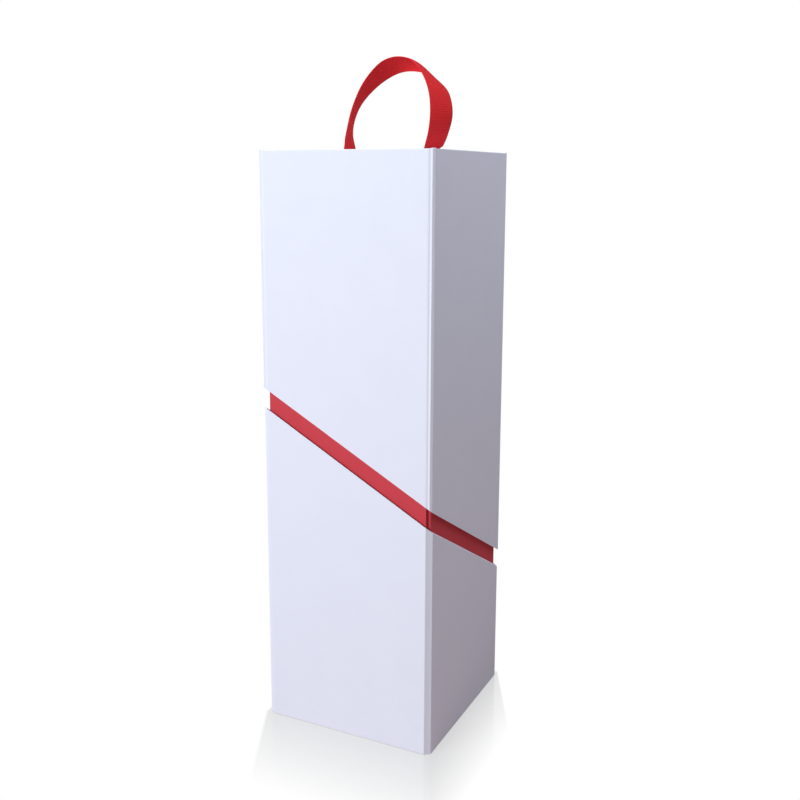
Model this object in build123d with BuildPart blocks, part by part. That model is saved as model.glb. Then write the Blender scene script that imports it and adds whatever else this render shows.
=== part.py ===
from build123d import *
from math import cos, radians, sin
import os

# A tall gift box for one wine bottle. A square base and a square lid, both of greyboard wrapped in
# white paper, meet at a slanted cut. A red inner neck stands up out of the base, shows as a band in
# the cut and carries the lid. A red ribbon loop through the lid's top is the handle.
#
# Frame: millimetres, +Z up, origin at the middle of the box's underside. The bright front face is
# -Y and the shaded face beside it is +X. The cut is highest at the front left corner and lowest at
# the back right corner.

# Overall sizes
box_height = 350.0          # table to lid top, without the ribbon
bottle_space = 103.0        # clear width inside the neck

# Sheet stock
outer_board = 1.6           # greyboard of the base and lid walls
neck_board = 1.6            # greyboard of the neck walls
deck_board = 1.6            # greyboard of the floor and of the lid's top
ceiling_card = 1.0          # card over the ribbon's tails
paper = 0.2                 # wrapping and lining paper

# Slanted cut
cut_height = 144.3          # middle of the gap, on the box's centre line
cut_fall = 61.5             # drop of the cut across one face
gap_height = 11.8           # upright distance between the two rims

# Turned and pasted paper
rim_turn_in = 15.0          # strip turned in over a rim
deck_turn_over = 15.0       # strip turned over on to the top or under the floor
sheet_inset = 2.0           # bare margin round the top and bottom sheets
glue_gap = 0.1              # between the edges of pasted sheets

# Corner hinges: open gap past the thickness of the boards that meet there
base_crease = 1.6
lid_crease = 2.1
neck_crease = 0.7

# Base corners, where the paper spans the hinge as a web
web_lead = 0.4              # board's end to where the paper turns into the web
web_dip = 0.12              # depth of the paper there
web_hollow = 0.16           # sag of the web's middle

# Lid corners, where the paper dips into a groove and stands out again as a ridge
groove_run = 0.95           # board's end to the bottom of the groove
groove_depth = 0.4
ridge_edge = 0.75           # ideal corner to the ridge's sharp edge
ridge_lean = 0.03           # lean of the ridge's back
ridge_back = 1.9            # front face to the back of the ridge
ridge_foot = 2.6            # front face to where the paper is back near the side face
ridge_step = 0.05           # what is still missing to the side face there

# Neck corners, where the paper is pressed into a narrow slit
slit_lead = 0.55            # board's end to the slit
slit_lean = 0.1             # lean of the slit's wall, and rise of its floor
slit_floor = 0.8            # side face to the far end of the slit's floor

# Fits
lid_clearance = 0.3         # lid lining to neck, each side
seat_clearance = 0.1        # ceiling card to the neck's top edge
slot_clearance = 0.25       # slot to ribbon, all round
slot_turn = 7.0             # degrees that a slot lets the ribbon turn about the upright

# Ribbon
ribbon_width = 15.0
ribbon_thickness = 0.5
ribbon_span = 54.6          # between the two slots
ribbon_offset = 1.5         # how far the slots sit to the right of the lid's middle
tail_length = 20.0
tail_bend = 0.45            # outer radius where a tail turns flat under the top board
flat_bow = 0.05             # least bow of a section, so that its long sides are always arcs
leg_depth = 2 * paper + deck_board   # lid top down to the underside of the top board

# The loop as it stands, from the left slot to the right one, drawn for slots loop_span apart:
# (right of the slots' middle, back, above the lid's top, turn of the ribbon's width about the
# upright, its tilt upwards at the back, bow of the ribbon across its width)
loop_span = 54.6
loop_stations = [
    (-27.3, 0.0, -leg_depth, 0, 0, flat_bow),
    (-27.4, 0.1, 0.6, 1, 0, flat_bow),
    (-27.6, 0.4, 3.6, 4, 0, flat_bow),
    (-28.3, 1.6, 11.5, 14, -2, 0.1),
    (-25.2, 4.2, 27.0, 14, -4, 0.1),
    (-17.1, 7.6, 40.4, 1, -14, 0.2),
    (-4.2, 9.7, 49.0, -11, -27, 0.5),
    (11.3, 6.8, 49.2, -11, -29, 1.8),
    (24.5, 0.9, 42.6, -17, -16, 1.1),
    (34.0, -4.8, 31.5, -30, -4, 0.4),
    (36.0, -6.4, 21.0, -35, -3, 0.1),
    (33.4, -4.6, 10.5, -26, -2, 0.1),
    (29.6, -1.7, 3.4, -18, 0, flat_bow),
    (27.6, -0.1, 0.4, -7, 0, flat_bow),
    (27.3, 0.0, -leg_depth, 0, 0, flat_bow),
]

# Half widths, from the bottle outwards
bottle_half = bottle_space / 2
neck_board_inner = bottle_half + paper
neck_board_outer = neck_board_inner + neck_board
neck_half = neck_board_outer + paper
liner_half = neck_half + lid_clearance
board_inner = liner_half + paper
board_outer = board_inner + outer_board
box_half = board_outer + paper

# Levels, from the table upwards
floor_bottom = 2 * paper
floor_top = floor_bottom + deck_board
top_board_top = box_height - 2 * paper
top_board_bottom = top_board_top - deck_board
ceiling_top = top_board_bottom - ribbon_thickness
ceiling_bottom = ceiling_top - ceiling_card
neck_top = ceiling_bottom - seat_clearance

# Hinge gaps, from an outer corner to the end of a board
base_hinge = paper + outer_board + base_crease
lid_hinge = paper + outer_board + lid_crease
neck_hinge = paper + neck_board + neck_crease

# The cut's slope, and the upright thickness of paper that lies on it
slope = cut_fall / (2 * box_half)
rim_paper = paper * (1 + 2 * slope**2) ** 0.5


def cut_plane(rise):
    """The slanted cut, moved up by rise. It falls across the front and again across the right face."""
    return Plane(origin=(0, 0, cut_height + rise), z_dir=(slope, slope, 1))


base_rim = cut_plane(-gap_height / 2)
base_board_rim = cut_plane(-gap_height / 2 - rim_paper)
base_turn_in_edge = cut_plane(-gap_height / 2 - rim_turn_in)
lid_rim = cut_plane(gap_height / 2)
lid_board_rim = cut_plane(gap_height / 2 + rim_paper)
lid_turn_in_edge = cut_plane(gap_height / 2 + rim_turn_in)
lid_lining_edge = cut_plane(gap_height / 2 + rim_turn_in + glue_gap)


def tube_outline(half, corner):
    """Outline of a square tube whose four corners all follow one run of points.

    A point of the run is (distance along a face from the ideal corner, depth behind that face). The
    run goes from the face round the corner to the next face, counter-clockwise seen from above.
    """
    quarter = [(half - depth, half - along) for along, depth in corner]
    points = []
    for turn in (0, 90, 180, 270):
        c, s = round(cos(radians(turn))), round(sin(radians(turn)))
        points += [(c * x - s * y, s * x + c * y) for x, y in quarter]
    return points


def cut_corner(length):
    """Straight cut across a corner."""
    return [(length, 0), (0, length)]


base_start = base_hinge - paper
web_start = base_start - web_lead
web_middle = (web_start + web_dip) / 2 + web_hollow
base_corner = [
    (base_start, 0),
    (web_start, web_dip),
    (web_middle, web_middle),
    (web_dip, web_start),
    (0, base_start),
]

lid_start = lid_hinge - paper
lid_corner = [
    (lid_start, 0),
    (lid_start - groove_run, groove_depth),
    (ridge_edge, 0),
    (ridge_edge - ridge_lean, ridge_back),
    (ridge_step, ridge_foot),
    (0, lid_start),
]

neck_start = neck_hinge - paper
slit_start = neck_start - slit_lead
slit_depth = neck_board - paper
neck_corner = [
    (slit_start, 0),
    (slit_start - slit_lean, slit_depth),
    (slit_floor, slit_depth + slit_lean),
    (0, neck_start),
]

base_outline = tube_outline(box_half, base_corner)
lid_outline = tube_outline(box_half, lid_corner)
neck_outline = tube_outline(neck_half, neck_corner)
bottle_outline = tube_outline(bottle_half, [(0, 0)])

# The lining round the neck, with its corners cut so that they clear the neck's as the sides do
liner_corner = slit_start + (2 - 2**0.5) * lid_clearance
liner_outline = tube_outline(liner_half, cut_corner(liner_corner))


def outline_face(outline, grow=0.0):
    """Fill a closed outline in the current sketch, moved outwards by grow."""
    Polygon(*outline, align=None)
    if grow:
        offset(amount=grow, kind=Kind.INTERSECTION)


def slots():
    """The two ribbon slots, cut through the current sketch."""
    turned_thickness = ribbon_thickness + ribbon_width * sin(radians(slot_turn))
    with Locations((ribbon_offset - ribbon_span / 2, 0), (ribbon_offset + ribbon_span / 2, 0)):
        Rectangle(
            turned_thickness + 2 * slot_clearance,
            ribbon_width + 2 * slot_clearance,
            mode=Mode.SUBTRACT,
        )


def finish(piece, name):
    """Label a finished piece and write it to its own file."""
    piece.part.label = name
    export_step(piece.part, f"parts/{name}.step")
    print(name, "solids", len(piece.part.solids()), "volume", round(piece.part.volume, 1))


os.makedirs("parts", exist_ok=True)

# Wall boards: flat panels on the four sides of each tube, apart at the corners where the paper
# hinges. Those of the base and the lid end at the slanted cut.
for index, side in enumerate(["front", "right", "back", "left"]):
    wall = Plane.XY.rotated((0, 0, 90 * index))

    with BuildPart() as base_wall_board:
        with BuildSketch(wall.offset(floor_bottom)):
            with Locations((0, -(board_inner + board_outer) / 2)):
                Rectangle(2 * (box_half - base_hinge), outer_board)
        extrude(amount=box_height)
        split(bisect_by=base_board_rim, keep=Keep.BOTTOM)
    finish(base_wall_board, f"base_{side}_board")

    with BuildPart() as lid_wall_board:
        with BuildSketch(wall):
            with Locations((0, -(board_inner + board_outer) / 2)):
                Rectangle(2 * (box_half - lid_hinge), outer_board)
        extrude(amount=top_board_top)
        split(bisect_by=lid_board_rim, keep=Keep.TOP)
    finish(lid_wall_board, f"lid_{side}_board")

    with BuildPart() as neck_wall_board:
        with BuildSketch(wall.offset(floor_top)):
            with Locations((0, -(neck_board_inner + neck_board_outer) / 2)):
                Rectangle(2 * (neck_half - neck_hinge), neck_board)
        extrude(amount=neck_top - paper - floor_top)
    finish(neck_wall_board, f"neck_{side}_board")

# Floor of the base, between its walls
with BuildPart() as base_floor_board:
    with BuildSketch(Plane.XY.offset(floor_bottom)):
        outline_face(liner_outline, paper)
    extrude(amount=deck_board)
finish(base_floor_board, "base_floor_board")

# Room inside the base's white skin: the boards stand in it, and the strip turned in over the rim
# stays out of it.
with BuildPart() as base_turn_in:
    with BuildSketch(Plane.XY):
        outline_face(liner_outline, paper)
    extrude(amount=box_height)
    split(bisect_by=base_turn_in_edge, keep=Keep.TOP)

with BuildPart() as base_room:
    with BuildSketch(Plane.XY.offset(floor_bottom)):
        outline_face(base_outline, -paper)
    extrude(amount=box_height)
    split(bisect_by=base_board_rim, keep=Keep.BOTTOM)
    add(base_turn_in.part, mode=Mode.SUBTRACT)

# White paper of the base
with BuildPart() as base_wrap:
    with BuildSketch(Plane.XY.offset(paper)):
        outline_face(base_outline)
    extrude(amount=box_height)
    split(bisect_by=base_rim, keep=Keep.BOTTOM)
    add(base_room.part, mode=Mode.SUBTRACT)
    with BuildSketch(Plane.XY.offset(floor_bottom)):
        outline_face(liner_outline)
    extrude(amount=box_height, mode=Mode.SUBTRACT)
    with BuildSketch(Plane.XY):
        Rectangle(2 * (box_half - deck_turn_over), 2 * (box_half - deck_turn_over))
    extrude(amount=box_height, mode=Mode.SUBTRACT)
finish(base_wrap, "base_wrap")

# Sheet under the floor, which the box stands on
with BuildPart() as base_bottom_sheet:
    with BuildSketch(Plane.XY):
        outline_face(tube_outline(box_half - sheet_inset, cut_corner(base_hinge)))
    extrude(amount=paper)
finish(base_bottom_sheet, "base_bottom_sheet")

# Red paper of the neck: outside, over the top edge and turned in behind it
with BuildPart() as neck_room:
    with BuildSketch(Plane.XY.offset(floor_top)):
        outline_face(neck_outline, -paper)
    extrude(amount=neck_top - paper - floor_top)
    with BuildSketch(Plane.XY.offset(neck_top - rim_turn_in)):
        outline_face(bottle_outline, paper)
    extrude(amount=rim_turn_in, mode=Mode.SUBTRACT)

with BuildPart() as neck_wrap:
    with BuildSketch(Plane.XY.offset(floor_top)):
        outline_face(neck_outline)
    extrude(amount=neck_top - floor_top)
    add(neck_room.part, mode=Mode.SUBTRACT)
    with BuildSketch(Plane.XY.offset(floor_top)):
        outline_face(bottle_outline)
    extrude(amount=box_height, mode=Mode.SUBTRACT)
finish(neck_wrap, "neck_wrap")

# Red lining of the bottle space
with BuildPart() as neck_lining:
    with BuildSketch(Plane.XY.offset(floor_top)):
        outline_face(bottle_outline, paper)
        Polygon(*bottle_outline, align=None, mode=Mode.SUBTRACT)
    extrude(amount=neck_top - rim_turn_in - glue_gap - floor_top)
finish(neck_lining, "neck_lining")

with BuildPart() as base_floor_lining:
    with BuildSketch(Plane.XY.offset(floor_top)):
        outline_face(bottle_outline, -glue_gap)
    extrude(amount=paper)
finish(base_floor_lining, "base_floor_lining")

# Top of the lid, between its walls, with the slots for the ribbon
with BuildPart() as lid_top_board:
    with BuildSketch(Plane.XY.offset(top_board_bottom)):
        outline_face(liner_outline, paper)
        slots()
    extrude(amount=deck_board)
finish(lid_top_board, "lid_top_board")

# Room inside the lid's white skin
with BuildPart() as lid_turn_in:
    with BuildSketch(Plane.XY):
        outline_face(liner_outline, paper)
    extrude(amount=box_height)
    split(bisect_by=lid_turn_in_edge, keep=Keep.BOTTOM)

with BuildPart() as lid_room:
    with BuildSketch(Plane.XY):
        outline_face(lid_outline, -paper)
    extrude(amount=top_board_top)
    split(bisect_by=lid_board_rim, keep=Keep.TOP)
    add(lid_turn_in.part, mode=Mode.SUBTRACT)

# White paper of the lid
with BuildPart() as lid_wrap:
    with BuildSketch(Plane.XY):
        outline_face(lid_outline)
    extrude(amount=top_board_top + paper)
    split(bisect_by=lid_rim, keep=Keep.TOP)
    add(lid_room.part, mode=Mode.SUBTRACT)
    with BuildSketch(Plane.XY):
        outline_face(liner_outline)
    extrude(amount=top_board_top, mode=Mode.SUBTRACT)
    with BuildSketch(Plane.XY):
        Rectangle(2 * (box_half - deck_turn_over), 2 * (box_half - deck_turn_over))
    extrude(amount=box_height, mode=Mode.SUBTRACT)
finish(lid_wrap, "lid_wrap")

# Sheet pasted on the lid's top
with BuildPart() as lid_top_sheet:
    with BuildSketch(Plane.XY.offset(box_height - paper)):
        outline_face(tube_outline(box_half - sheet_inset, cut_corner(lid_hinge)))
        slots()
    extrude(amount=paper)
finish(lid_top_sheet, "lid_top_sheet")

# White lining of the lid's walls, from the turned-in strip up to the ceiling card
with BuildPart() as lid_lining:
    with BuildSketch(Plane.XY):
        outline_face(liner_outline, paper)
        Polygon(*liner_outline, align=None, mode=Mode.SUBTRACT)
    extrude(amount=ceiling_bottom - glue_gap)
    split(bisect_by=lid_lining_edge, keep=Keep.TOP)
finish(lid_lining, "lid_lining")

# Card over the ribbon's tails. The neck's top edge carries it, and so the whole lid.
with BuildPart() as lid_ceiling_card:
    with BuildSketch(Plane.XY.offset(ceiling_bottom)):
        outline_face(liner_outline, paper - glue_gap)
    extrude(amount=ceiling_card)
finish(lid_ceiling_card, "lid_ceiling_card")

# Ribbon: the loop is lofted through one thin bowed section at each station, square to the loop's
# line. Its ends stand in the slots, where each meets a tail that lies flat under the top board.
loop_points = []
for x, y, z, *_ in loop_stations:
    loop_points.append(Vector(ribbon_offset + x * ribbon_span / loop_span, y, box_height + z))
loop_steps = [end - start for start, end in zip(loop_points, loop_points[1:])]
loop_directions = [Vector(0, 0, 1)]
for before, after in zip(loop_steps, loop_steps[1:]):
    loop_directions.append(before.normalized() * after.length + after.normalized() * before.length)
loop_directions.append(Vector(0, 0, -1))

with BuildPart() as ribbon_handle:
    for point, direction, (*_, turn, tilt, bow) in zip(loop_points, loop_directions, loop_stations):
        across = Vector(0, 1, 0).rotate(Axis.X, tilt).rotate(Axis.Z, turn)
        edge = (ribbon_width - 8 * bow**2 / (3 * ribbon_width)) / 2
        skin = ribbon_thickness / 2
        with BuildSketch(Plane(origin=point, x_dir=across, z_dir=direction)):
            with BuildLine():
                Line((-edge, -skin), (-edge, skin))
                ThreePointArc((-edge, skin), (0, bow + skin), (edge, skin))
                Line((edge, skin), (edge, -skin))
                ThreePointArc((edge, -skin), (0, bow - skin), (-edge, -skin))
            make_face()
    loft()
    for hand in (1, -1):
        outer = ribbon_offset - hand * (ribbon_span + ribbon_thickness) / 2
        tail_end = outer + hand * (ribbon_thickness + tail_length)
        with BuildSketch(Plane.XZ) as tail_profile:
            with BuildLine():
                Polyline(
                    (outer, top_board_bottom),
                    (outer, ceiling_top),
                    (tail_end, ceiling_top),
                    (tail_end, top_board_bottom),
                    close=True,
                )
            make_face()
            bend = tail_profile.vertices().sort_by_distance((outer, 0, ceiling_top))[0]
            fillet(bend, radius=tail_bend)
        extrude(amount=ribbon_width / 2, both=True)
finish(ribbon_handle, "ribbon_handle")

print("box width", round(2 * box_half, 2), "recess of the neck", round(box_half - neck_half, 2))
print("ribbon loop length", round(sum(step.length for step in loop_steps), 1))
print("lid lift to clear the neck", round(neck_top - cut_height - gap_height / 2 + cut_fall, 1))
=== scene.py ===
# %% [markdown]
# A cardboard wine box with a slanted cut
#
# The real object is a tall gift box for one bottle. A white base and a white lid, both of greyboard
# wrapped in paper, meet at a slanted cut. A red inner neck stands up out of the base, shows as a band
# in the cut and carries the lid. A red ribbon loop on the lid is the handle.
#
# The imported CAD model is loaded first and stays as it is. What shows most, the folded papers and the
# ribbon, is then modelled again with finer folds, and every piece gets the material of the real one.

# %% Load the frame
import math

import bpy
from mathutils import Matrix, Vector


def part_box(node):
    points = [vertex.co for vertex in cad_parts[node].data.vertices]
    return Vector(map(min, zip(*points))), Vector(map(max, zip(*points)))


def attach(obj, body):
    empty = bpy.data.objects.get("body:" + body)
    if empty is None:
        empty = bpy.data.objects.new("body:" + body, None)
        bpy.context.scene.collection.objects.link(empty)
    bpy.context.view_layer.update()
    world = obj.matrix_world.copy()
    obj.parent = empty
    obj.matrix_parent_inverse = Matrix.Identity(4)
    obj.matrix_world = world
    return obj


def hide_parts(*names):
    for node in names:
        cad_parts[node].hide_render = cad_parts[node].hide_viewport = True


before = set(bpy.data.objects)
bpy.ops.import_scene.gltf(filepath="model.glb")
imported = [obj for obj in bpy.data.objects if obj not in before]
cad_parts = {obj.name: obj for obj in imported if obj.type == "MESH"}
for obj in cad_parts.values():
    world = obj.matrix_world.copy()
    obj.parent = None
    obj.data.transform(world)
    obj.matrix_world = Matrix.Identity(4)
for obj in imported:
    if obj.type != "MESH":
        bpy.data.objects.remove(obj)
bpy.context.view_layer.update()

# %% [markdown]
# The camera
#
# The box is seen from the right of its front face, from a little below its top. The camera looks down
# by about 10 degrees, so the upright edges lean together slightly towards the foot. A small vertical
# lens shift puts the box at its place in the frame, as a product photographer does with a shift lens.

# %% Camera
CAMERA_PLACE = Vector((0.2722, -0.5379, 0.3346))
CAMERA_YAW = math.radians(-26.114)
CAMERA_PITCH = math.radians(-10.388)
CAMERA_ROLL = math.radians(0.199)
LENS_LENGTH = 44.37
SENSOR_WIDTH = 36
LENS_SHIFT = -0.0517

camera_data = bpy.data.cameras.new("product_camera")
camera_data.lens = LENS_LENGTH
camera_data.sensor_width = SENSOR_WIDTH
camera_data.shift_y = LENS_SHIFT
camera = bpy.data.objects.new("product_camera", camera_data)
bpy.context.scene.collection.objects.link(camera)

forward = Vector((math.sin(CAMERA_YAW) * math.cos(CAMERA_PITCH),
                  math.cos(CAMERA_YAW) * math.cos(CAMERA_PITCH),
                  math.sin(CAMERA_PITCH)))
level = Vector((math.cos(CAMERA_YAW), -math.sin(CAMERA_YAW), 0))
upright = level.cross(forward)
right = level * math.cos(CAMERA_ROLL) + upright * math.sin(CAMERA_ROLL)
up = upright * math.cos(CAMERA_ROLL) - level * math.sin(CAMERA_ROLL)
turned = Matrix((right, up, -forward)).transposed().to_4x4()
camera.matrix_world = Matrix.Translation(CAMERA_PLACE) @ turned
bpy.context.scene.camera = camera
bpy.context.scene.view_settings.view_transform = "Standard"
print("camera looks along", [round(c, 3) for c in forward])

# %% [markdown]
# The sizes that the papers share
#
# All papers are wrapped round boards whose sizes the CAD model fixes. The outer sizes are read from
# the loaded nodes. The slanted cut, the folds and the thicknesses can't be read from a box of corners,
# so they stand here once, in metres.

# %% Shared sizes
MM = 0.001
PAPER = 0.2 * MM
TURN_IN = 15 * MM
CUT_HEIGHT = 144.3 * MM
CUT_FALL = 61.5 * MM
GAP_HEIGHT = 11.8 * MM
FOLD_RADIUS = 0.15 * MM
NECK_BOARD = 1.6 * MM
LID_PLAY = 0.3 * MM

BOX_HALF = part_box("lid_wrap")[1].x
NECK_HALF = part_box("neck_wrap")[1].x
NECK_FOOT, NECK_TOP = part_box("neck_wrap")[0].z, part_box("neck_wrap")[1].z
LINER_HALF = NECK_HALF + LID_PLAY
BOTTLE_HALF = NECK_HALF - 2 * PAPER - NECK_BOARD
LID_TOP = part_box("lid_wrap")[1].z
BASE_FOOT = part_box("base_wrap")[0].z
SLOPE = CUT_FALL / (2 * BOX_HALF)
print("slope of the cut:", round(SLOPE, 3), "half widths:", round(BOX_HALF, 4), round(NECK_HALF, 4))

# %% [markdown]
# Corner folds
#
# At a corner the boards stop short of each other and only the paper goes round. On the lid it dips into
# a shallow groove, comes back as a narrow strip and then spans the corner as a small web. On the base
# one nearly flat web spans the corner, and on the neck the paper lies in a small square notch. Each
# corner is a run of points in mm, given as the distance along the face and the depth behind it. The
# Bevel modifier takes such a run as its custom profile, so one bevel folds all four corners.

# %% Helpers that start and fold a tube
LID_CORNER = [(3.9, 0), (3.2, 0.15), (2.55, 0.45), (1.35, 0.35), (0.1, 1.65), (0.22, 2.3), (0, 3.9)]
BASE_CORNER = [(3.6, 0), (3.4, 0.06), (3.15, 0.24), (1.75, 1.4), (0.15, 2.5), (0.04, 2.8), (0, 3.6)]
NECK_CORNER = [(2.1, 0), (2.0, 1.9), (0.3, 1.9), (0, 2.1)]
LINER_CORNER = [(1.93, 0), (0, 1.93)]


def start_block(name, half, foot, top):
    """A square block from foot to top, with its middle on the box's own axis."""
    bpy.ops.object.select_all(action="DESELECT")
    size = (2 * half, 2 * half, top - foot)
    bpy.ops.mesh.primitive_cube_add(size=1, location=(0, 0, (foot + top) / 2), scale=size)
    bpy.ops.object.transform_apply(location=True, rotation=True, scale=True)
    block = bpy.context.object
    block.name = name
    return block


def fold_corners(block, run):
    """Give the four upright edges the profile of a crease run."""
    weights = block.data.attributes.new("bevel_weight_edge", "FLOAT", "EDGE")
    for edge in block.data.edges:
        start, end = (block.data.vertices[v].co for v in edge.vertices)
        is_upright = (start.xy - end.xy).length < MM
        weights.data[edge.index].value = float(is_upright)
    width = run[0][0]
    bevel = block.modifiers.new("corner_fold", "BEVEL")
    bevel.width = width * MM
    bevel.limit_method = "WEIGHT"
    bevel.profile_type = "CUSTOM"
    profile = bevel.custom_profile
    for along, depth in run[1:-1]:
        profile.points.add(1 - along / width, 1 - depth / width)
    for point in profile.points:
        point.handle_type_1 = point.handle_type_2 = "VECTOR"
    profile.use_sample_straight_edges = False
    profile.update()
    bevel.segments = len(profile.points) - 1
    bpy.ops.object.modifier_apply(modifier=bevel.name)
    print(block.name, "has corners of", len(run) - 1, "strips")


# %% [markdown]
# Cutting the tube on the slant
#
# The cut falls across the front and again across the right side, so it is one flat plane. Bisect
# cuts a mesh with a plane and can throw one side away, which is how a saw would part the two halves.

# %% Helpers that cut and open a tube
SPARE_LENGTH = 200 * MM
TOLERANCE = 0.01 * MM


def bisect_at(block, height, keep_above, slope=SLOPE):
    """Cut a mesh along the slanted plane at that height and keep one side, open."""
    bpy.context.view_layer.objects.active = block
    bpy.ops.object.mode_set(mode="EDIT")
    bpy.ops.mesh.select_all(action="SELECT")
    bpy.ops.mesh.bisect(plane_co=(0, 0, height), plane_no=(slope, slope, 1), use_fill=False,
                        clear_inner=keep_above, clear_outer=not keep_above)
    bpy.ops.object.mode_set(mode="OBJECT")


def select_only(block, kind, wanted):
    """Select only the faces or edges that pass the test, and open the mesh for editing."""
    mesh = block.data
    for parts in (mesh.vertices, mesh.edges, mesh.polygons):
        parts.foreach_set("select", [False] * len(parts))
    for part in mesh.polygons if kind == "FACE" else mesh.edges:
        part.select = wanted(part)
    bpy.context.tool_settings.mesh_select_mode = (False, kind == "EDGE", kind == "FACE")
    bpy.context.view_layer.objects.active = block
    bpy.ops.object.mode_set(mode="EDIT")


def delete_faces(block, wanted):
    """Delete the faces that pass the test."""
    select_only(block, "FACE", wanted)
    bpy.ops.mesh.delete(type="FACE")
    bpy.ops.object.mode_set(mode="OBJECT")


def faces_level(polygon):
    """True for a face that lies level to within 3 degrees."""
    return abs(polygon.normal.z) > 0.999


def liner(name, half, run, low, high, slope=SLOPE):
    """The strip of paper that is turned in: a short tube that faces the box's axis."""
    # It starts longer than it needs to be, so that a slanted cut goes right through it
    tube = start_block(name, half, low - SPARE_LENGTH, high + SPARE_LENGTH)
    if run:
        fold_corners(tube, run)
    delete_faces(tube, faces_level)
    bisect_at(tube, low, keep_above=True, slope=slope)
    bisect_at(tube, high, keep_above=False, slope=slope)
    bpy.ops.object.mode_set(mode="EDIT")
    bpy.ops.mesh.select_all(action="SELECT")
    bpy.ops.mesh.flip_normals()
    bpy.ops.object.mode_set(mode="OBJECT")
    return tube


def margin(name, level_z, half):
    """The square inner edge of paper that is turned over on to a level face."""
    bpy.ops.object.select_all(action="DESELECT")
    bpy.ops.mesh.primitive_plane_add(size=2 * half, location=(0, 0, level_z))
    bpy.ops.object.transform_apply(location=True, rotation=True, scale=True)
    plane = bpy.context.object
    plane.name = name
    bpy.ops.object.mode_set(mode="EDIT")
    bpy.ops.mesh.select_all(action="SELECT")
    bpy.ops.mesh.delete(type="ONLY_FACE")
    bpy.ops.object.mode_set(mode="OBJECT")
    return plane


def join(pieces):
    """Join meshes into the first one."""
    bpy.ops.object.select_all(action="DESELECT")
    for piece in pieces:
        piece.select_set(True)
    bpy.context.view_layer.objects.active = pieces[0]
    bpy.ops.object.join()
    return pieces[0]


def bridge_where(block, wanted):
    """Bridge the two open loops whose points pass the test."""
    mesh = block.data
    inner_edges = [key for polygon in mesh.polygons for key in polygon.edge_keys]
    is_open = {edge.index: inner_edges.count(edge.key) < 2 for edge in mesh.edges}
    select_only(block, "EDGE", lambda edge: is_open[edge.index]
                and all(wanted(mesh.vertices[v].co) for v in edge.vertices))
    bpy.ops.mesh.bridge_edge_loops()
    bpy.ops.object.mode_set(mode="OBJECT")
    print(block.name, "now has", len(mesh.polygons), "faces")


def on_cut(height, slope=SLOPE):
    """Test for points that lie on the slanted plane at that height."""
    return lambda point: abs(point.z + slope * (point.x + point.y) - height) < TOLERANCE


# %% [markdown]
# Rounding the folds
#
# Paper over a board never folds to a knife edge, so every fold is rounded with a small bevel. The folds
# over the lid's top, over the base's rim and under its foot are taller and show as bright lines. Where
# the top fold meets the corner folds the paper is bunched, and the corner ends in a small tip above the
# top. A few cuts beside each corner give the edge enough points, and each point is lifted the more, the
# nearer it is to the corner.

# %% Helpers that round the folds and lift the tips
FOLD_ANGLE = math.radians(8)
FOLD_SEGMENTS = 3

# A rounded fold's points lie within the band beside the edge, and the outer skin's points lie further
# from the axis than the turned-in strip does
FOLD_BAND = 1.6 * FOLD_RADIUS
OUTER_SKIN = LINER_HALF + 0.3 * MM

# Where the cuts beside a corner lie, as shares of the tip's reach, and how steeply the tip rises
CUT_SHARES = (0.15, 0.35, 0.6, 0.9)
TIP_POWER = 1.5


def round_folds(block, radius):
    """Round every fold that turns by more than the fold angle."""
    bevel = block.modifiers.new("soft_folds", "BEVEL")
    bevel.width = radius
    bevel.segments = FOLD_SEGMENTS
    bevel.limit_method = "ANGLE"
    bevel.angle_limit = FOLD_ANGLE
    bpy.context.view_layer.objects.active = block
    bpy.ops.object.modifier_apply(modifier=bevel.name)


def stretch_fold(block, height, slope, factor, side=1):
    """Make the outer fold along an upper (side 1) or lower (side -1) edge taller.

    The edge may be level or slanted. Height is that of the edge on the box's axis.
    """
    for vertex in block.data.vertices:
        x, y, z = vertex.co
        drop = side * (height - slope * (x + y) - z)
        if max(abs(x), abs(y)) > OUTER_SKIN and 0 < drop < FOLD_BAND:
            vertex.co.z -= side * drop * (factor - 1)


def lift_tips(block, level, height, reach):
    """Lift the points above a level that lie near the four corners."""
    bpy.context.view_layer.objects.active = block
    bpy.ops.object.mode_set(mode="EDIT")
    for share in CUT_SHARES:
        for place in (BOX_HALF - share * reach, share * reach - BOX_HALF):
            bpy.ops.mesh.select_all(action="SELECT")
            bpy.ops.mesh.bisect(plane_co=(place, 0, 0), plane_no=(1, 0, 0))
            bpy.ops.mesh.select_all(action="SELECT")
            bpy.ops.mesh.bisect(plane_co=(0, place, 0), plane_no=(0, 1, 0))
    bpy.ops.object.mode_set(mode="OBJECT")
    tips = 0
    for vertex in block.data.vertices:
        corner = Vector((math.copysign(BOX_HALF, vertex.co.x), math.copysign(BOX_HALF, vertex.co.y)))
        nearness = 1 - (vertex.co.xy - corner).length / reach
        if vertex.co.z > level and nearness > 0:
            vertex.co.z += height * nearness ** TIP_POWER
            tips += 1
    print(block.name, "has", tips, "lifted points")


# %% [markdown]
# Paper gets its thickness last
#
# A folded sheet is one skin. Solidify gives it the thickness of the paper on the side of the board. The
# small facets of a fold are then shaded smooth, and the weighted normals keep the large faces flat.

# %% Helper that thickens the paper
PAPER_SMOOTH_ANGLE = math.radians(35)


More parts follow.
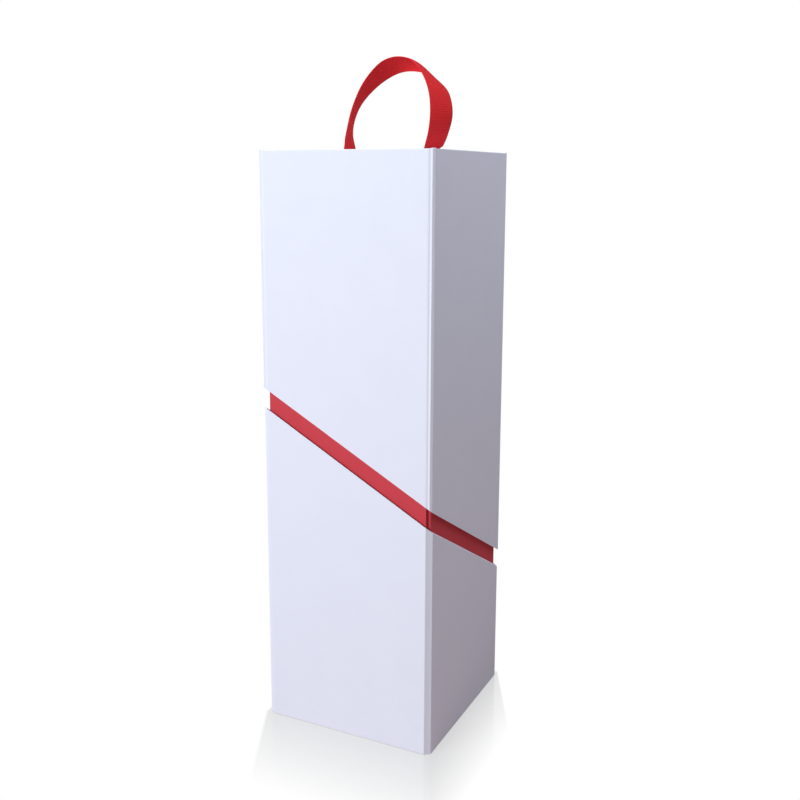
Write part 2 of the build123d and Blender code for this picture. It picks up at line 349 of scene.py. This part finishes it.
def finish_paper(block):
    """Give the skin the paper's thickness and shade it."""
    bpy.ops.object.select_all(action="DESELECT")
    block.select_set(True)
    bpy.context.view_layer.objects.active = block
    thickness = block.modifiers.new("paper_thickness", "SOLIDIFY")
    thickness.thickness = PAPER
    thickness.offset = -1
    thickness.use_even_offset = True
    bpy.ops.object.modifier_apply(modifier=thickness.name)
    bpy.ops.object.shade_smooth_by_angle(angle=PAPER_SMOOTH_ANGLE)
    flat_faces = block.modifiers.new("flat_faces_stay_flat", "WEIGHTED_NORMAL")
    flat_faces.keep_sharp = True
    bpy.ops.object.modifier_apply(modifier=flat_faces.name)
    print(block.name, "is paper of", len(block.data.polygons), "faces")


# %% [markdown]
# The base's white paper
#
# One sheet goes round the four walls, over the slanted rim and 15 mm down inside, and under the
# floor. It starts as a block whose corners are folded, is cut on the slant, and is then bridged to
# the turned-in strip and to the edge of the paper under the floor.

# %% Base wrap
BASE_RIM = CUT_HEIGHT - GAP_HEIGHT / 2
RIM_STRETCH = 4
FOOT_STRETCH = 3
base_paper = start_block("base_paper", BOX_HALF, BASE_FOOT, LID_TOP)
fold_corners(base_paper, BASE_CORNER)
bisect_at(base_paper, BASE_RIM, keep_above=False)
delete_faces(base_paper, faces_level)
join([base_paper, liner("base_turn_in", LINER_HALF, LINER_CORNER, BASE_RIM - TURN_IN, BASE_RIM),
      margin("base_foot_edge", BASE_FOOT, BOX_HALF - TURN_IN)])
bridge_where(base_paper, on_cut(BASE_RIM))
bridge_where(base_paper, on_cut(BASE_FOOT, 0))
round_folds(base_paper, FOLD_RADIUS)
stretch_fold(base_paper, BASE_RIM, SLOPE, RIM_STRETCH)
stretch_fold(base_paper, BASE_FOOT, 0, FOOT_STRETCH, side=-1)
finish_paper(base_paper)

# %% [markdown]
# The lid's white paper
#
# The lid is wrapped the same way, upside down. The same steps run with another crease run, and the four
# corners of its top end in small tips.

# %% Lid wrap
LID_RIM = CUT_HEIGHT + GAP_HEIGHT / 2
TOP_STRETCH = 4
TIP_HEIGHT = 0.8 * MM
TIP_REACH = 5 * MM
TIP_LEVEL = LID_TOP - 5 * FOLD_RADIUS
lid_paper = start_block("lid_paper", BOX_HALF, -LID_TOP, LID_TOP)
fold_corners(lid_paper, LID_CORNER)
bisect_at(lid_paper, LID_RIM, keep_above=True)
delete_faces(lid_paper, faces_level)
join([lid_paper, liner("lid_turn_in", LINER_HALF, LINER_CORNER, LID_RIM, LID_RIM + TURN_IN),
      margin("lid_top_edge", LID_TOP, BOX_HALF - TURN_IN)])
bridge_where(lid_paper, on_cut(LID_RIM))
bridge_where(lid_paper, on_cut(LID_TOP, 0))
round_folds(lid_paper, FOLD_RADIUS)
stretch_fold(lid_paper, LID_TOP, 0, TOP_STRETCH)
lift_tips(lid_paper, TIP_LEVEL, TIP_HEIGHT, TIP_REACH)
finish_paper(lid_paper)

# %% [markdown]
# The neck's red paper
#
# The neck is a straight tube that stands inside the base. Its paper goes over the top edge and down
# inside. Only a slanted band of it shows while the box is closed, but all of it shows when the lid
# is lifted.

# %% Neck wrap
neck_paper = start_block("neck_paper", NECK_HALF, NECK_FOOT, NECK_TOP)
fold_corners(neck_paper, NECK_CORNER)
delete_faces(neck_paper, faces_level)
join([neck_paper, liner("neck_turn_in", BOTTLE_HALF, None, NECK_TOP - TURN_IN, NECK_TOP, slope=0)])
bridge_where(neck_paper, on_cut(NECK_TOP, 0))
round_folds(neck_paper, FOLD_RADIUS)
finish_paper(neck_paper)

# %% [markdown]
# The ribbon
#
# The handle is a grosgrain ribbon, a flat woven band with ribs across it. It starts as a flat grid of
# its real length and width. Each row of the grid is then laid across the loop's line, which passes
# through nearly the same stations as in the CAD model, and each vertex moves out a little with the
# ribbon's bow. The ribs are real relief, so the edge of the ribbon is finely toothed as well.

# %% Ribbon stations
RIBBON_WIDTH = 15 * MM
RIBBON_THICKNESS = 0.5 * MM
RIBBON_MIDDLE = Vector((1.5 * MM, 0, 350 * MM))
TAIL_LENGTH = 20 * MM
RIB_PITCH = 1.0 * MM
RIB_HEIGHT = 0.12 * MM
ROWS_PER_RIB = 6
COLUMNS = 16

# Right of the slots' middle, back and up, in mm, then turn and tilt in degrees, and bow in mm
STATIONS = [
    (-27.3, 0.0, -2.0, 0, 0, 0.05), (-27.4, 0.1, 0.6, 1, 0, 0.05), (-27.6, 0.4, 3.6, 4, 0, 0.05),
    (-28.3, 1.6, 11.5, 14, -2, 0.1), (-25.2, 4.2, 27.0, 14, -4, 0.1), (-17.1, 7.6, 40.4, 1, -14, 0.2),
    (-4.2, 9.7, 50.0, -11, -27, 0.5), (11.3, 6.8, 50.2, -11, -29, 1.8), (24.5, 0.9, 43.1, -17, -16, 1.1),
    (34.0, -4.8, 31.5, -30, -4, 0.4), (36.0, -6.4, 21.0, -35, -3, 0.1), (33.4, -4.6, 10.5, -26, -2, 0.1),
    (29.7, -1.7, 3.6, -20, 0, 0.05), (28.2, -0.6, 1.3, -15, 0, 0.05), (27.5, 0.0, 0.0, -7, 0, 0.05),
    (27.3, 0.0, -2.0, 0, 0, 0.05),
]
points = [Vector(station[:3]) * MM + RIBBON_MIDDLE for station in STATIONS]
steps = [end - start for start, end in zip(points, points[1:])]
directions = [Vector((0, 0, 1))]
for before, after in zip(steps, steps[1:]):
    mean = before.normalized() * after.length + after.normalized() * before.length
    directions.append(mean.normalized())
directions.append(Vector((0, 0, -1)))
print("stations:", len(points))

# %% [markdown]
# The line of the ribbon
#
# A ribbon held at its two ends bows, turns and tilts evenly all the way round. A smooth curve between
# each two stations carries the point, the turn, the tilt and the bow from one to the next. Each end then
# goes on as a tail that lies flat under the top board, where it is glued.


# %% Line of the ribbon
def hermite(start, end, leave, arrive, t):
    """Point and direction at t of the smooth curve between two stations."""
    a, b = 2 * t**3 - 3 * t**2 + 1, 3 * t**2 - 2 * t**3
    c, d = t**3 - 2 * t**2 + t, t**3 - t**2
    point = a * start + b * end + c * leave + d * arrive
    da, dc, dd = 6 * t**2 - 6 * t, 3 * t**2 - 4 * t + 1, 3 * t**2 - 2 * t
    return point, (da * start - da * end + dc * leave + dd * arrive).normalized()


FINE = 40
lengths = [step.length for step in steps]
poses = [Vector(station[3:]) for station in STATIONS]
rates = [Vector((0, 0, 0))]
for index in range(1, len(poses) - 1):
    before, after = lengths[index - 1], lengths[index]
    rates.append(((poses[index] - poses[index - 1]) * after / before
                  + (poses[index + 1] - poses[index]) * before / after) / (before + after))
rates.append(Vector((0, 0, 0)))

line = []
for index, length in enumerate(lengths):
    for fraction in range(FINE):
        t = fraction / FINE
        point, direction = hermite(points[index], points[index + 1], directions[index] * length,
                                   directions[index + 1] * length, t)
        pose, _ = hermite(poses[index], poses[index + 1], rates[index] * length,
                          rates[index + 1] * length, t)
        line.append((point, direction, pose.x, pose.y, max(pose.z, 0.0) * MM))
line.append((points[-1], directions[-1], 0, 0, STATIONS[-1][5] * MM))

# A tail at each end, joined by a small bend. Its middle lies half the ribbon's thickness under the
# board, whose underside is at 348 mm.
BEND = 0.35 * MM
BEND_PARTS = 6
TAIL_LEVEL = 347.75 * MM
TAIL_BOW = 0.05 * MM


def tail(slot_x, hand):
    """Stations of a tail, from the slot inwards, as (point, direction away from the slot)."""
    stations = []
    for part in range(1, BEND_PARTS + 1):
        angle = math.radians(90 * part / BEND_PARTS)
        point = Vector((slot_x + hand * BEND * (1 - math.cos(angle)), 0,
                        TAIL_LEVEL + BEND * (1 - math.sin(angle))))
        stations.append((point, Vector((hand * math.sin(angle), 0, -math.cos(angle)))))
    end = Vector((slot_x + hand * (TAIL_LENGTH + RIBBON_THICKNESS / 2), 0, TAIL_LEVEL))
    stations.append((end, Vector((hand, 0, 0))))
    return stations


left_tail = [(p, -d, 0, 0, TAIL_BOW) for p, d in reversed(tail(points[0].x, 1))]
right_tail = [(p, d, 0, 0, TAIL_BOW) for p, d in tail(points[-1].x, -1)]
line = left_tail + line + right_tail
distances = [0.0]
for before, after in zip(line, line[1:]):
    distances.append(distances[-1] + (after[0] - before[0]).length)
RIBBON_LENGTH = distances[-1]
print("ribbon length:", round(RIBBON_LENGTH * 1000, 1), "mm")


# %% [markdown]
# The ribbon's mesh
#
# Six rows of the grid make one rib, so a rib is round. Each row is laid across the line at its own
# distance from the start, raised by the bow and the rib, and Solidify gives the sheet its thickness.

# %% Ribbon mesh
RIBBON_SMOOTH_ANGLE = math.radians(50)
rib_rows = round(RIBBON_LENGTH / RIB_PITCH) * ROWS_PER_RIB
bpy.ops.object.select_all(action="DESELECT")
bpy.ops.mesh.primitive_grid_add(x_subdivisions=COLUMNS, y_subdivisions=rib_rows, size=1)
ribbon = bpy.context.object
ribbon.name = "ribbon_loop"


def at_reach(distance):
    """Station of the ribbon's line at that distance from its start."""
    low, high = 0, len(distances) - 1
    while high - low > 1:
        middle = (low + high) // 2
        if distances[middle] <= distance:
            low = middle
        else:
            high = middle
    t = (distance - distances[low]) / (distances[high] - distances[low])
    a, b = line[low], line[high]
    return [start + (end - start) * t for start, end in zip(a, b)]


for vertex in ribbon.data.vertices:
    share = min(max(vertex.co.y + 0.5, 0.0), 1.0)
    middle, direction, turn, tilt, bow = at_reach(share * RIBBON_LENGTH)
    across = (Matrix.Rotation(math.radians(turn), 3, "Z") @ Matrix.Rotation(math.radians(tilt), 3, "X")
              @ Vector((0, 1, 0)))
    out = direction.cross(across).normalized()
    across = out.cross(direction).normalized()
    half_chord = (RIBBON_WIDTH - 8 * bow**2 / (3 * RIBBON_WIDTH)) / 2
    side = 2 * vertex.co.x
    rib = RIB_HEIGHT * abs(math.sin(math.pi * share * RIBBON_LENGTH / RIB_PITCH))
    lift = bow * (1 - side**2) + rib / 2
    vertex.co = middle + across * (half_chord * side) + out * lift

thickness = ribbon.modifiers.new("ribbon_thickness", "SOLIDIFY")
thickness.thickness = RIBBON_THICKNESS - RIB_HEIGHT
thickness.offset = 0
bpy.ops.object.modifier_apply(modifier=thickness.name)
bpy.ops.object.shade_smooth_by_angle(angle=RIBBON_SMOOTH_ANGLE)
print("ribbon faces:", len(ribbon.data.polygons))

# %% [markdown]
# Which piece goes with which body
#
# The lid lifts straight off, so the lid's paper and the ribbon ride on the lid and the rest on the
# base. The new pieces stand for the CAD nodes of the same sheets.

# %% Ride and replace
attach(base_paper, "base")
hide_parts("base_wrap")
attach(lid_paper, "lid")
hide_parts("lid_wrap")
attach(neck_paper, "base")
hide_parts("neck_wrap")
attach(ribbon, "lid")
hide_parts("ribbon_handle")
print("new pieces:", base_paper.name, lid_paper.name, neck_paper.name, ribbon.name)


# %% [markdown]
# How the materials are written
#
# Colours are given as a designer would, as sRGB hex values, and turned to linear light once. One
# small function adds a node, sets its properties and links or fills its sockets. A socket is named
# where its name is its own. On a Mix node 0 is the factor, 6 and 7 are the two colours, and output 2 is
# the mixed colour. On other nodes 0, 1 and 2 count the sockets from the top.

# %% Colour and node helpers
def colour(code):
    """Linear RGBA of an sRGB hex value."""
    channels = [int(code[i:i + 2], 16) / 255 for i in (1, 3, 5)]
    return [c / 12.92 if c <= 0.04045 else ((c + 0.055) / 1.055) ** 2.4 for c in channels] + [1.0]


PURE_WHITE = colour("#FFFFFF")


def add_node(tree, kind, sockets=None, **properties):
    """Add a node, set its properties, and link or fill its sockets."""
    node = tree.nodes.new(kind)
    for name, value in properties.items():
        setattr(node, name, value)
    for name, value in (sockets or {}).items():
        if isinstance(value, bpy.types.NodeSocket):
            tree.links.new(value, node.inputs[name])
        else:
            node.inputs[name].default_value = value
    return node


def start_material(name):
    """An empty material with its output node."""
    material = bpy.data.materials.new(name)
    material.use_nodes = True
    material.node_tree.nodes.clear()
    return material, material.node_tree, add_node(material.node_tree, "ShaderNodeOutputMaterial")


# %% [markdown]
# Coated paper
#
# The white and the red wrapping are art paper with a matt film: even, slightly cool, with a broad
# soft sheen and hardly any texture. The paper over the board isn't quite flat, so a slow swell of a
# few hundredths of a millimetre and a fine fibre pattern go into the bump, and the colour has a faint
# cloudiness.

# %% Coated paper material
ROUGHNESS_SPREAD = 0.04


def make_paper(name, light, dark, roughness, gloss):
    """Matt laminated art paper between two close colours."""
    material, tree, output = start_material(name)
    place = add_node(tree, "ShaderNodeTexCoord").outputs["Object"]
    # Clouds of 20 mm in the colour, fibres of 0.3 mm and a swell of 30 mm in the bump
    cloud = add_node(tree, "ShaderNodeTexNoise", {"Vector": place, "Scale": 50.0, "Detail": 3.0})
    fibre = add_node(tree, "ShaderNodeTexNoise", {"Vector": place, "Scale": 3300.0, "Detail": 2.0})
    swell = add_node(tree, "ShaderNodeTexNoise", {"Vector": place, "Scale": 33.0, "Detail": 1.0})
    tint = add_node(tree, "ShaderNodeMix", {0: cloud.outputs[0], 6: colour(light), 7: colour(dark)},
                    data_type="RGBA").outputs[2]
    slow = add_node(tree, "ShaderNodeBump", {"Height": swell.outputs[0], "Strength": 0.5,
                                             "Distance": 0.1 * MM})
    fine = add_node(tree, "ShaderNodeBump", {"Height": fibre.outputs[0], "Strength": 0.3,
                                             "Distance": 0.02 * MM, "Normal": slow.outputs[0]})
    rough = add_node(tree, "ShaderNodeMapRange", {"Value": cloud.outputs[0],
                                                  "To Min": roughness - ROUGHNESS_SPREAD,
                                                  "To Max": roughness + ROUGHNESS_SPREAD})
    shader = add_node(tree, "ShaderNodeBsdfPrincipled", {"Base Color": tint, "Roughness": rough.outputs[0],
                                                         "IOR": 1.5, "Specular IOR Level": gloss,
                                                         "Normal": fine.outputs[0]})
    tree.links.new(shader.outputs[0], output.inputs[0])
    return material


white_paper = make_paper("matt_white_art_paper", "#EBF0FE", "#E7ECFB", 0.6, 0.4)
red_paper = make_paper("matt_red_art_paper", "#D24A54", "#CA444E", 0.5, 0.08)
print("papers:", white_paper.name, red_paper.name)

# %% [markdown]
# Greyboard
#
# The walls are greyboard, pressed from waste paper. It only shows at cut edges inside. It is warm
# grey, speckled with darker and lighter fibres, and has no gloss at all.

# %% Greyboard material
greyboard, tree, output = start_material("greyboard")
place = add_node(tree, "ShaderNodeTexCoord").outputs["Object"]
# Flecks of about 0.8 mm, fibres of 0.4 mm
fleck = add_node(tree, "ShaderNodeTexVoronoi", {"Vector": place, "Scale": 1250.0})
fibre = add_node(tree, "ShaderNodeTexNoise", {"Vector": place, "Scale": 2500.0, "Detail": 4.0})
tint = add_node(tree, "ShaderNodeMix", {0: fibre.outputs[0], 6: colour("#A39C90"), 7: colour("#857E73")},
                data_type="RGBA").outputs[2]
# A fleck is dark in its middle and gone at a quarter of a cell
spots = add_node(tree, "ShaderNodeMapRange", {"Value": fleck.outputs["Distance"], "From Max": 0.25,
                                              "To Min": 0.5, "To Max": 0.0})
tint = add_node(tree, "ShaderNodeMix", {0: spots.outputs[0], 6: tint, 7: colour("#5F594F")},
                data_type="RGBA").outputs[2]
bump = add_node(tree, "ShaderNodeBump", {"Height": fibre.outputs[0], "Strength": 0.5,
                                         "Distance": 0.05 * MM})
shader = add_node(tree, "ShaderNodeBsdfPrincipled", {"Base Color": tint, "Roughness": 0.95, "IOR": 1.45,
                                                     "Normal": bump.outputs[0]})
tree.links.new(shader.outputs[0], output.inputs[0])
print("board:", greyboard.name)

# %% [markdown]
# Grosgrain
#
# The ribbon is woven polyester. The ribs are already in the mesh, so the material adds the fine warp
# threads that run lengthwise over them and the soft sheen of the yarn. The pattern follows the
# ribbon's own UV map, so it turns with the loop.

# %% Ribbon material
grosgrain, tree, output = start_material("polyester_grosgrain")
flat = add_node(tree, "ShaderNodeTexCoord").outputs["UV"]
along = add_node(tree, "ShaderNodeSeparateXYZ", {0: flat}).outputs["Y"]

# Threads 0.25 mm apart: 60 over the ribbon's width of 15 mm. A wave texture at scale 1 has one band
# in 2 pi / 20 of its vector.
THREADS = 60
WARP_SHARE = 0.1
warp = add_node(tree, "ShaderNodeTexWave", {"Vector": flat, "Scale": THREADS * math.pi / 10},
                bands_direction="X", wave_profile="SIN")

# The yarn's colour changes every 0.8 mm, once the UV map is stretched to about one unit per mm
YARN_STRETCH = (15.0, 187.0, 1.0)
stretched = add_node(tree, "ShaderNodeMapping", {"Vector": flat, "Scale": YARN_STRETCH})
yarn = add_node(tree, "ShaderNodeTexNoise", {"Vector": stretched.outputs[0], "Scale": 1.2, "Detail": 3.0})
tint = add_node(tree, "ShaderNodeMix", {0: yarn.outputs[0], 6: colour("#FF373B"), 7: colour("#F72F34")},
                data_type="RGBA").outputs[2]
tint = add_node(tree, "ShaderNodeMix", {0: WARP_SHARE, 6: tint, 7: warp.outputs["Color"]},
                data_type="RGBA", blend_type="MULTIPLY").outputs[2]

# Less light reaches the valleys between the ribs of the mesh
ribs = add_node(tree, "ShaderNodeMath", {0: along, 1: math.pi * RIBBON_LENGTH / RIB_PITCH},
                operation="MULTIPLY")
ribs = add_node(tree, "ShaderNodeMath", {0: ribs.outputs[0]}, operation="SINE")
ribs = add_node(tree, "ShaderNodeMath", {0: ribs.outputs[0]}, operation="ABSOLUTE")
shade = add_node(tree, "ShaderNodeMapRange", {"Value": ribs.outputs[0], "From Max": 0.7, "To Min": 0.6,
                                               "To Max": 1.0})
tint = add_node(tree, "ShaderNodeMix", {0: 1.0, 6: tint, 7: shade.outputs[0]},
                data_type="RGBA", blend_type="MULTIPLY").outputs[2]
bump = add_node(tree, "ShaderNodeBump", {"Height": warp.outputs["Fac"], "Strength": 0.4,
                                         "Distance": 0.04 * MM})
shader = add_node(tree, "ShaderNodeBsdfPrincipled", {"Base Color": tint, "Roughness": 0.85, "IOR": 1.5,
                                                     "Specular IOR Level": 0.15, "Normal": bump.outputs[0]})
tree.links.new(shader.outputs[0], output.inputs[0])
print("ribs:", round(RIBBON_LENGTH / RIB_PITCH))

# %% [markdown]
# Which piece has which material
#
# The CAD nodes that stay are the greyboard walls, the linings, the card and the flat sheets. Each piece
# gets one material all over, as the real one is cut from one stock.

# %% Give each piece its material
WHITE_NODES = ["lid_top_sheet", "base_bottom_sheet", "lid_lining", "lid_ceiling_card"]
RED_NODES = ["neck_lining", "base_floor_lining"]


def dress(piece, material):
    """Give a piece one material in place of all its slots."""
    piece.data.materials.clear()
    piece.data.materials.append(material)


for name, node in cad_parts.items():
    if name in WHITE_NODES:
        dress(node, white_paper)
    elif name in RED_NODES:
        dress(node, red_paper)
    else:
        dress(node, greyboard)
NEW_PIECES = ((base_paper, white_paper), (lid_paper, white_paper), (neck_paper, red_paper),
              (ribbon, grosgrain))
for piece, material in NEW_PIECES:
    dress(piece, material)
print("dressed", len(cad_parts), "nodes and", len(NEW_PIECES), "new pieces")

# %% [markdown]
# Floor, backdrop and light
#
# The box stands on a glossy white table against white. A large, slightly cool softbox stands to the
# left of the camera and above it, so the front face is bright and the right face less than half as
# bright. A small one hangs above the right side and makes that face lighter towards the top. What
# comes back from the table is a little warm.
#
# A soft grey shadow is painted forwards on the table, as if from the white behind the box, with a little of
# the real shadow mixed in. It is darkest at the foot, as wide as the box, and fades into white, and a weak
# mirror image of the box lies in it. The floor's material paints the shadow and mixes in the mirror image,
# and only camera rays see them, so they don't darken the box.

# %% Floor
FLOOR_SIZE = 8
SHADOW_LENGTH = 75 * MM
SIDE_FADE = 3 * MM
REFLECTION = 0.15
# The darkest tone of the painted shadow, at the box's foot
PAINTED_SHADOW_TONE = 0.77
SHADOW = 0.12
FALL = Vector((0.44, -0.898, 0))

bpy.ops.object.select_all(action="DESELECT")
bpy.ops.mesh.primitive_plane_add(size=FLOOR_SIZE, location=(0, 0, 0))
floor = bpy.context.object
floor.name = "floor"
floor_material, tree, output = start_material("white_acrylic_table")
camera_ray = add_node(tree, "ShaderNodeLightPath").outputs["Is Camera Ray"]
tone = add_node(tree, "ShaderNodeMix", {0: camera_ray, 6: colour("#C39695"), 7: colour("#EBEBEB")},
                data_type="RGBA").outputs[2]
lit = add_node(tree, "ShaderNodeBsdfDiffuse", {"Color": tone})

# How far a point lies from the foot along the fall of the shadow, and how far it lies beside it
place = add_node(tree, "ShaderNodeTexCoord").outputs["Object"]
split = add_node(tree, "ShaderNodeSeparateXYZ", {0: place})
front = add_node(tree, "ShaderNodeMath", {0: split.outputs["Y"], 1: 1 / FALL.y, 2: BOX_HALF / FALL.y},
                 operation="MULTIPLY_ADD")
aside = add_node(tree, "ShaderNodeMath", {0: split.outputs["X"], 1: 1 / FALL.x, 2: -BOX_HALF / FALL.x},
                 operation="MULTIPLY_ADD")
ahead = add_node(tree, "ShaderNodeMath", {0: front.outputs[0], 1: aside.outputs[0]},
                 operation="MAXIMUM")
ahead = add_node(tree, "ShaderNodeMath", {0: ahead.outputs[0], 1: 0.0},
                 operation="MAXIMUM").outputs[0]
back = add_node(tree, "ShaderNodeVectorMath", {0: FALL, "Scale": ahead}, operation="SCALE")
foot = add_node(tree, "ShaderNodeVectorMath", {0: place, 1: back.outputs[0]}, operation="SUBTRACT")
beside = add_node(tree, "ShaderNodeVectorMath", {0: foot.outputs[0]}, operation="ABSOLUTE")
beside = add_node(tree, "ShaderNodeVectorMath", {0: beside.outputs[0], 1: (BOX_HALF, BOX_HALF, 0)},
                  operation="SUBTRACT")
beside = add_node(tree, "ShaderNodeVectorMath", {0: beside.outputs[0], 1: (0, 0, 0)},
                  operation="MAXIMUM")
beside = add_node(tree, "ShaderNodeVectorMath", {0: beside.outputs[0]},
                  operation="LENGTH").outputs["Value"]

# Nearness to the foot: 1 at the foot, 0 at the end of the shadow and beside it
near = add_node(tree, "ShaderNodeMapRange", {"Value": ahead, "From Max": SHADOW_LENGTH,
                                             "To Min": 1.0, "To Max": 0.0})
within = add_node(tree, "ShaderNodeMapRange", {"Value": beside, "From Max": SIDE_FADE,
                                               "To Min": 1.0, "To Max": 0.0},
                  interpolation_type="SMOOTHSTEP")
near = add_node(tree, "ShaderNodeMath", {0: near.outputs[0], 1: within.outputs[0]},
                operation="MULTIPLY").outputs[0]

# Painted shadow: white that darkens towards the contact, then a little of the real shadow, then the mirror
# image
grey = add_node(tree, "ShaderNodeMapRange", {"Value": near, "To Min": 1.0, "To Max": PAINTED_SHADOW_TONE})
white = add_node(tree, "ShaderNodeEmission", {"Color": PURE_WHITE, "Strength": grey.outputs[0]})
share = add_node(tree, "ShaderNodeMapRange", {"Value": near, "To Min": 1.0, "To Max": 1.0 - SHADOW})
share = add_node(tree, "ShaderNodeMath", {0: camera_ray, 1: share.outputs[0]}, operation="MULTIPLY")
table = add_node(tree, "ShaderNodeMixShader", {0: share.outputs[0], 1: lit.outputs[0],
                                               2: white.outputs[0]})
mirror = add_node(tree, "ShaderNodeBsdfGlossy", {"Color": PURE_WHITE, "Roughness": 0.04})
share = add_node(tree, "ShaderNodeMath", {0: near, 1: REFLECTION}, operation="MULTIPLY")
share = add_node(tree, "ShaderNodeMath", {0: camera_ray, 1: share.outputs[0]}, operation="MULTIPLY")
table = add_node(tree, "ShaderNodeMixShader", {0: share.outputs[0], 1: table.outputs[0],
                                               2: mirror.outputs[0]})
tree.links.new(table.outputs[0], output.inputs[0])
dress(floor, floor_material)
print("floor:", floor_material.name, "with a shadow", round(SHADOW_LENGTH / MM), "mm long")

# %% World and lights
# The sky and the lamps are light and not paint, so their colours are plain linear values
SKY_LIGHT = (0.198, 0.244, 0.215, 1)
world = bpy.data.worlds.new("studio")
bpy.context.scene.world = world
world.use_nodes = True
tree = world.node_tree
tree.nodes.clear()
ray = add_node(tree, "ShaderNodeLightPath")
seen = add_node(tree, "ShaderNodeMath", {0: ray.outputs["Is Camera Ray"],
                                         1: ray.outputs["Is Glossy Ray"]}, operation="MAXIMUM")
seen = add_node(tree, "ShaderNodeMath", {0: seen.outputs[0], 1: ray.outputs["Is Transmission Ray"]},
                operation="MAXIMUM")
room = add_node(tree, "ShaderNodeMix", {0: seen.outputs[0], 6: SKY_LIGHT, 7: PURE_WHITE},
                data_type="RGBA")
sky = add_node(tree, "ShaderNodeBackground", {"Color": room.outputs[2], "Strength": 1.0})
add_node(tree, "ShaderNodeOutputWorld", {0: sky.outputs[0]})


def soft_light(name, place, target, size, watts, tint):
    """Add a square area light that points at a target."""
    data = bpy.data.lights.new(name, "AREA")
    data.size = size
    data.color = tint
    data.energy = watts
    light = bpy.data.objects.new(name, data)
    bpy.context.scene.collection.objects.link(light)
    light.location = place
    light.rotation_euler = (Vector(target) - Vector(place)).to_track_quat("-Z", "Y").to_euler()


MID_BOX = (0, 0, 0.2)
soft_light("key_softbox", place=(-1.0, -1.9, 1.15), target=MID_BOX, size=1.0, watts=48.6,
           tint=(0.883, 0.949, 1.0))
soft_light("top_softbox", place=(0.45, 0.1, 0.95), target=MID_BOX, size=0.7, watts=3.45,
           tint=(0.81, 0.835, 1.0))
